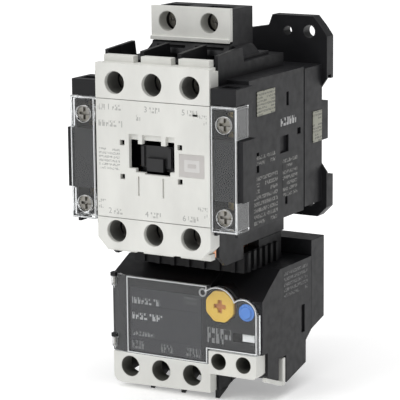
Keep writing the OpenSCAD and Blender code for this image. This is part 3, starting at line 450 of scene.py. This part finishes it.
def spring_mesh(name, coils):
    """Coil springs with round wire and flattened end turns.

    Each coil is (start, end, radius, wire radius, turns).
    """
    mesh = bmesh.new()
    steps, ring = 28, 10
    flat_turns = 0.8
    for start, end, radius, wire, turns in coils:
        along = end - start
        frame_turn = along.to_track_quat("Z", "Y").to_matrix()
        count = int(turns * steps)
        rows = []
        for i in range(count + 1):
            share = i / count
            eased = min(max((share * turns - flat_turns) / (turns - 2 * flat_turns), 0), 1)
            rise = wire + (along.length - 2 * wire) * eased
            angle = math.tau * turns * share
            centre = Vector((radius * math.cos(angle), radius * math.sin(angle), rise))
            out = Vector((math.cos(angle), math.sin(angle), 0))
            row = []
            for k in range(ring):
                b = math.tau * k / ring
                place = centre + wire * (math.cos(b) * out + math.sin(b) * Vector((0, 0, 1)))
                row.append(mesh.verts.new(start + frame_turn @ place))
            rows.append(row)
        for lower, upper in zip(rows, rows[1:]):
            for k in range(ring):
                mesh.faces.new((lower[k], upper[k], upper[(k + 1) % ring], lower[(k + 1) % ring]))
        mesh.faces.new(rows[0])
        mesh.faces.new(reversed(rows[-1]))
    mesh.normal_update()
    bmesh.ops.recalc_face_normals(mesh, faces=mesh.faces)
    data = bpy.data.meshes.new(name)
    mesh.to_mesh(data)
    mesh.free()
    return data


def add_springs():
    """Round-wire springs in place of the faceted CAD ones; each rides a single body.
    """
    pole_z = -7.5
    back, front = 21.8, 35.9
    coils = [(point(0, back, pole_z + s * 11), point(0, front, pole_z + s * 11), mm(2.2), mm(0.33), 7)
             for s in (-1, 1)]
    returns = piece("return_spring_pair", spring_mesh("return_spring_pair", coils),
                    paints["spring_steel"], "starter")
    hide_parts("return_springs")
    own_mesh(returns)

    low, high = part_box("contact_springs")
    coils = [(Vector((x, high.y, mm(pole_z))), Vector((x, low.y, mm(pole_z))), mm(1.8), mm(0.28), 6)
             for x in (mm(-14.5), 0, mm(14.5))]
    contact = piece("contact_spring_set", spring_mesh("contact_spring_set", coils),
                    paints["spring_steel"], "armature")
    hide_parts("contact_springs")

    low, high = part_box("latch_spring")
    centre = (low + high) / 2
    coils = [(Vector((0, centre.y, low.z)), Vector((0, centre.y, high.z)), mm(1.2), mm(0.21), 7)]
    latch = piece("latch_spring_coil", spring_mesh("latch_spring_coil", coils),
                  paints["spring_steel"], "starter")
    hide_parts("latch_spring")
    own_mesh(latch)

    low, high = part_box("reset_spring")
    centre = (low + high) / 2
    coils = [(Vector((centre.x, high.y, centre.z)), Vector((centre.x, low.y, centre.z)), mm(2),
              mm(0.28), 7)]
    reset = piece("reset_spring_coil", spring_mesh("reset_spring_coil", coils),
                  paints["spring_steel"], "starter")
    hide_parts("reset_spring")
    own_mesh(reset)


add_springs()

# ---------------------------------------------------------------- tubes round the screw holes, painting their shade


def circle(x, z, radius, start=0.0, end=360.0, steps=48):
    """Places (x, z) along an arc, both ends included unless it is a whole circle."""
    last = steps if end - start == 360 else steps - 1
    turns = [math.radians(start + (end - start) * k / last) for k in range(steps)]
    return [(x + radius * math.cos(turn), z + radius * math.sin(turn)) for turn in turns]


def inset(outline, width):
    """A clockwise closed outline moved inwards by width, with mitred corners."""
    places = [Vector(place) for place in outline]
    moved = []
    for before, here, after in zip(places[-1:] + places[:-1], places, places[1:] + places[:1]):
        first, second = (here - before).normalized(), (after - here).normalized()
        inward = Vector((first.y, -first.x)) + Vector((second.y, -second.x))
        moved.append(here + inward * width / (1 + first.dot(second)))
    return moved


def band_mesh(name, outer, inner, back, front):
    """A closed band between two outlines with as many places each, from back to front."""
    mesh = bmesh.new()
    rings = [[mesh.verts.new(point(x, depth, z)) for x, z in outline]
             for outline, depth in ((outer, back), (outer, front), (inner, front), (inner, back))]
    count = len(outer)
    for first, second in zip(rings, rings[1:] + rings[:1]):
        for k in range(count):
            mesh.faces.new((first[k], second[k], second[(k + 1) % count], first[(k + 1) % count]))
    bmesh.ops.recalc_face_normals(mesh, faces=mesh.faces)
    data = bpy.data.meshes.new(name)
    mesh.to_mesh(data)
    mesh.free()
    return data


def tube_mesh(name, x, z, inner, outer, back, front):
    """A thin open tube along the depth, closed at its two rims."""
    return band_mesh(name, circle(x, z, outer), circle(x, z, inner), back, front)


def add_hole_liners():
    """Grey sleeves in the screwdriver holes of the coil terminals (pale) and of the relay (dark),
    painting the shade inside the holes.

    Each row is (name, X of every hole, Z, radius, (back, front) depth, paint).
    """
    wall = 0.14
    # Both greys are painted shade on the hole walls, deeper in the relay holes.
    pale = moulded("hole_shade_pale", (0.50, 0.50, 0.47), rough=(0.45, 0.6))
    dark = moulded("hole_shade_dark", (0.12, 0.12, 0.105), rough=(0.45, 0.6))
    rows = (("coil_hole_shade", (-9.0, 7.4), 36.0, 3.49, (39.4, 44.1), pale),
            ("relay_hole_shade", (-22.9, -10.3, 2.3), -86.3, 3.74, (42.9, 49.2), dark),
            ("signal_hole_shade", (14.0, 23.7), -79.4, 2.94, (42.9, 51.2), dark))
    for name, holes, z, radius, (back, front), paint in rows:
        for i, x in enumerate(holes):
            mesh = tube_mesh(f"{name}_{i}", x, z, radius - wall, radius, back, front)
            piece(f"{name}_{i}", mesh, paint, "starter", smooth=False)


def add_test_hole_rim():
    """A pale grey ring on the face round the relay's test hole: a painted highlight for the hole's bright
    rim.
    """
    pale = moulded("test_rim_highlight", (0.42, 0.42, 0.42), rough=(0.3, 0.42), edge_wear_and_highlight=1.2)
    mesh = tube_mesh("test_hole_rim", 6.8, -56.2, 0.92, 1.5, 48.4, 49.1)
    piece("test_hole_rim", mesh, pale, "starter", smooth=False)


def add_clear_rims():
    """Raised whitened rims round the front faces of the three clear covers, a painted highlight for their
    bright edge lines; each rides its cover.
    """
    rim_highlight_paint = clear("clear_rim_highlight", (0.97, 0.98, 0.985), highlight_white=0.6)
    left, split, right = -22.9, 9.8, 29.2
    top, bottom, low = -52.9, -80.8, -75.4
    relay = [(left, bottom), (left, top), (split, top), *circle(13.9, -60.2, 7.3, 124.2, 25.0, 16),
             *circle(23.8, -61.4, 5.4, 127.4, 0.0, 16)[1:], (right, low), (split, low), (split, bottom)]
    rims = [("relay_lid_rim", "relay_clear_cover", relay, 0.36)]
    for side, x in (("left", (-32.2, -22.5)), ("right", (22.5, 32.2))):
        box = [(x[0], -29.4), (x[0], 12.5), (x[1], 12.5), (x[1], -29.4)]
        rims.append((f"aux_{side}_rim", f"aux_cover_{side}", box, 0.28))
    for name, cover, outline, width in rims:
        level = -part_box(cover)[0].y * 1000
        outer = inset(outline, 0.25)
        mesh = band_mesh(name, outer, inset(outer, width), level - 0.02, level + 0.12)
        piece(name, mesh, rim_highlight_paint, bodies[cover], smooth=False)


add_hole_liners()
add_test_hole_rim()
add_clear_rims()

# ---------------------------------------------------------------- print


def facing_place(facing, across, level, up):
    """A place on a face: across is X on the front and depth on a side wall; level is how far out."""
    if facing == "front":
        return point(across, level, up)
    return point(level if facing == "right" else -level, across, up)


def film(name, across, up, level, facing, paint, body, corner=0.35, thickness=0.05):
    """A thin film with rounded corners, lying on a face at level."""
    mesh = bmesh.new()
    outline = []
    left, right = across[0] + corner, across[1] - corner
    low, high = up[0] + corner, up[1] - corner
    for cx, cz, start in ((right, high, 0), (left, high, 90), (left, low, 180), (right, low, 270)):
        for k in range(5):
            angle = math.radians(start + 22.5 * k)
            outline.append((cx + corner * math.cos(angle), cz + corner * math.sin(angle)))
    back = [mesh.verts.new(facing_place(facing, a, level, b)) for a, b in outline]
    front = [mesh.verts.new(facing_place(facing, a, level + thickness, b)) for a, b in outline]
    mesh.faces.new(front)
    mesh.faces.new(reversed(back))
    count = len(outline)
    for k in range(count):
        mesh.faces.new((back[k], back[(k + 1) % count], front[(k + 1) % count], front[k]))
    bmesh.ops.recalc_face_normals(mesh, faces=mesh.faces)
    data = bpy.data.meshes.new(name)
    mesh.to_mesh(data)
    mesh.free()
    return piece(name, data, paint, body, smooth=False)


def print_film(name, across, up, level, facing, ground, ink, body, letter=0.62, rows=1,
               gaps=0.12):
    """A film printed with rows of unreadable marks that fill its height."""
    line = (up[1] - up[0]) / (rows - 0.38)
    paint = printed(name, ground, ink, "X" if facing == "front" else "Y", "Z", letter=mm(letter),
                    line=mm(line), start=mm(up[0]), gaps=gaps if rows > 1 else 0.0)
    return film(name, across, up, level, facing, paint, body, corner=0.1, thickness=0.03)


def lettering(name, text, place, height, paint, body):
    """Plain generic characters, such as terminal numbers, printed on a front face."""
    curve = bpy.data.curves.new(name, "FONT")
    curve.body = text
    curve.size = mm(height * 1.4)
    curve.align_x, curve.align_y = "CENTER", "CENTER"
    curve.extrude = mm(0.01)
    curve.resolution_u = 3
    holder = bpy.data.objects.new(name + "_curve", curve)
    bpy.context.scene.collection.objects.link(holder)
    mesh = bpy.data.meshes.new_from_object(holder.evaluated_get(bpy.context.evaluated_depsgraph_get()))
    bpy.data.objects.remove(holder)
    mesh.transform(Matrix.Translation(place) @ Matrix.Rotation(math.radians(90), 4, "X"))
    mesh.materials.clear()
    return piece(name, mesh, paint, body, smooth=False)


grey_ink = moulded("grey_ink", (0.36, 0.36, 0.35), rough=(0.4, 0.5), relief=mm(0.001))
PALE_INK = (0.42, 0.42, 0.40)
DENSE_INK = (0.30, 0.30, 0.29)
FAINT_INK = (0.20, 0.20, 0.19)


def print_front():
    """Terminal numbers and small print on the ivory front."""
    front = 70.0
    for i, x in enumerate((-14.5, 0, 14.5)):
        for name, text, z in ((f"line_number_{i}", 2 * i + 1, 9.5),
                              (f"load_number_{i}", 2 * i + 2, -25.9)):
            lettering(name, str(text), point(x - 2.4, front + 0.01, z), 2.0, grey_ink, "starter")
            print_film(f"{name}_code", (x - 0.9, x + 3.0), (z - 0.95, z + 0.95), front, "front", IVORY,
                       PALE_INK, "starter", letter=1.3)
    for name, across, up, rows, letter in (
            ("type_row", (-21, -11.6), (2.9, 5.0), 1, 1.5),
            ("corner_row", (-21.2, -18.4), (8.4, 10.4), 1, 0.9),
            ("data_panel", (-20.9, -12.7), (-11.7, -4.5), 6, 0.6),
            ("note_row", (15.6, 20.9), (5.9, 9.2), 2, 0.9),
            ("spot_mark", (-6.1, -4.5), (5.6, 7.6), 1, 1.6),
            ("foot_left", (-21.4, -18.6), (-25.2, -22.1), 2, 0.9),
            ("foot_right", (16.8, 20.9), (-25.1, -21.5), 2, 0.9)):
        ink = DENSE_INK if name == "data_panel" else PALE_INK
        print_film(name, across, up, front, "front", IVORY, ink, "starter",
                   letter=letter, rows=rows)


def add_emblem():
    """A plain emblem in the shallow panel of the front: one square inside another."""
    level = 69.7
    paint = moulded("emblem_grey", (0.50, 0.48, 0.465), rough=(0.35, 0.45), edge_wear_and_highlight=1.2)
    pale = moulded("emblem_pale", (0.60, 0.59, 0.575), rough=(0.35, 0.45), edge_wear_and_highlight=1.1)
    for name, margin, ink in (("emblem_ground", 0.1, paint), ("emblem_square", 1.9, pale),
                              ("emblem_core", 3.2, paint)):
        film(name, (10.3 + margin, 19.9 - margin), (-12 + margin, -4.2 - margin), level, "front", ink,
             "starter", corner=0.3, thickness=0.08)
        level += 0.08


def print_sides():
    """Rows of small print on both dark side walls and on the relay."""
    wall, relay_wall = 30.0, 29.8
    for facing in ("right", "left"):
        for name, across, up, level, rows, letter, ink in (
                ("rating_row", (24.4, 35.6), (1.2, 3.9), wall, 1, 2.1, (0.42, 0.42, 0.42)),
                ("wiring_upper", (39.5, 54.4), (-9.6, -6.4), wall, 2, 0.9, FAINT_INK),
                ("wiring_lower", (38.0, 54.6), (-29.6, -13.4), wall, 8, 0.9, FAINT_INK),
                ("ratings_table", (23.6, 34.4), (-23.4, -10.4), wall, 7, 0.9, FAINT_INK),
                ("relay_table", (15.5, 33.0), (-59.0, -50.2), relay_wall, 5, 1.0, (0.13, 0.13, 0.13))):
            print_film(f"{name}_{facing}", across, up, level, facing, BLACK, ink, "starter",
                       letter=letter, rows=rows)


def print_nameplate():
    """Headline rows and small rows on the relay's dark nameplate, and notes under the dial."""
    level = -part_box("relay_nameplate")[0].y * 1000 - 0.1
    for name, across, up, rows, letter, ink in (
            ("plate_type", (-21.8, -10.4), (-63.2, -60.9), 1, 1.5, (0.30, 0.30, 0.30)),
            ("plate_range", (-21.8, -9.6), (-68.8, -66.4), 1, 1.7, (0.42, 0.42, 0.42)),
            ("plate_note", (-22.0, -13.0), (-74.8, -73.2), 1, 1.2, (0.20, 0.20, 0.20)),
            ("plate_foot_left", (-22.0, -17.0), (-79.6, -76.6), 1, 1.3, (0.16, 0.16, 0.16)),
            ("plate_foot_middle", (-10.2, -5.4), (-79.6, -76.6), 1, 1.3, (0.16, 0.16, 0.16)),
            ("plate_foot_right", (0.0, 5.8), (-79.6, -76.6), 1, 1.3, (0.16, 0.16, 0.16)),
            ("plate_side", (-1.0, 4.6), (-61.0, -58.6), 2, 0.8, (0.14, 0.14, 0.14))):
        print_film(name, across, up, level, "front", PLATE, ink, "starter",
                   letter=letter, rows=rows)
    for i, z in enumerate((-63.8, -75.6)):
        film(f"plate_line_{i}", (-22.2, 5.8), (z - 0.14, z + 0.14), level, "front", grey_ink, "starter",
             corner=0.05, thickness=0.03)
    print_film("dial_notes", (8.2, 17.8), (-73.6, -68.2), 48.8, "front", BLACK, (0.22, 0.22, 0.22),
               "starter", letter=1.7, rows=1)


print_front()
add_emblem()
print_sides()
print_nameplate()

# ---------------------------------------------------------------- floor, light and camera


def add_floor():
    low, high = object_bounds()
    size = 3.0
    mesh = bpy.data.meshes.new("floor")
    z = low.z - mm(0.1)
    corners = [(-size, -size, z), (size, -size, z), (size, size, z), (-size, size, z)]
    mesh.from_pydata(corners, [], [(0, 1, 2, 3)])
    floor = bpy.data.objects.new("floor", mesh)
    bpy.context.scene.collection.objects.link(floor)
    paint = Paint("floor_white", Roughness=0.9, Emission_Strength=0.3, Emission_Color=(1, 1, 1, 1))
    paint.colour(paint.blend(paint.noise(0.4), (0.93, 0.93, 0.93), (0.95, 0.95, 0.95)))
    mesh.materials.append(paint.material)


def add_sun(name, origin, strength, spread):
    """A wide soft light that comes from the side of origin; spread is its angle in degrees."""
    data = bpy.data.lights.new(name, "SUN")
    data.energy = strength
    data.angle = math.radians(spread)
    light = bpy.data.objects.new(name, data)
    light.location = origin
    light.rotation_mode = "QUATERNION"
    light.rotation_quaternion = (-Vector(origin)).to_track_quat("-Z", "Y")
    bpy.context.scene.collection.objects.link(light)


def add_world(ambient):
    """A white backdrop that lights the object less than it shows."""
    world = bpy.data.worlds.new("studio")
    bpy.context.scene.world = world
    world.use_nodes = True
    tree = world.node_tree
    soft = tree.nodes["Background"]
    soft.inputs["Strength"].default_value = ambient
    soft.inputs["Color"].default_value = (1, 1, 1, 1)
    backdrop = tree.nodes.new("ShaderNodeBackground")
    backdrop.inputs["Color"].default_value = (1, 1, 1, 1)
    seen = tree.nodes.new("ShaderNodeLightPath").outputs["Is Camera Ray"]
    both = tree.nodes.new("ShaderNodeMixShader")
    tree.links.new(seen, both.inputs[0])
    tree.links.new(soft.outputs[0], both.inputs[1])
    tree.links.new(backdrop.outputs[0], both.inputs[2])
    tree.links.new(both.outputs[0], tree.nodes["World Output"].inputs["Surface"])


def add_camera():
    """The photograph's view: from the right and a little above."""
    azimuth, elevation, roll = math.radians(30.203), math.radians(11.347), math.radians(-0.555)
    forward = Vector((-math.sin(azimuth) * math.cos(elevation), math.cos(azimuth) * math.cos(elevation),
                      -math.sin(elevation)))
    data = bpy.data.cameras.new("camera")
    data.lens = 186.4
    data.sensor_width = 36
    data.clip_start, data.clip_end = 0.05, 20
    camera = bpy.data.objects.new("camera", data)
    camera.location = (0.3539, -0.6468, 0.1149)
    camera.rotation_mode = "QUATERNION"
    camera.rotation_quaternion = forward.to_track_quat("-Z", "Y") @ Quaternion((0, 0, 1), roll)
    bpy.context.scene.collection.objects.link(camera)
    bpy.context.scene.camera = camera


add_floor()
add_world(0.37)
add_sun("key", (-0.5, -1.0, 0.75), 0.82, 25)
add_sun("top", (0.1, -0.15, 1.0), 1.5, 60)
add_camera()
bpy.context.scene.view_settings.view_transform = "Standard"
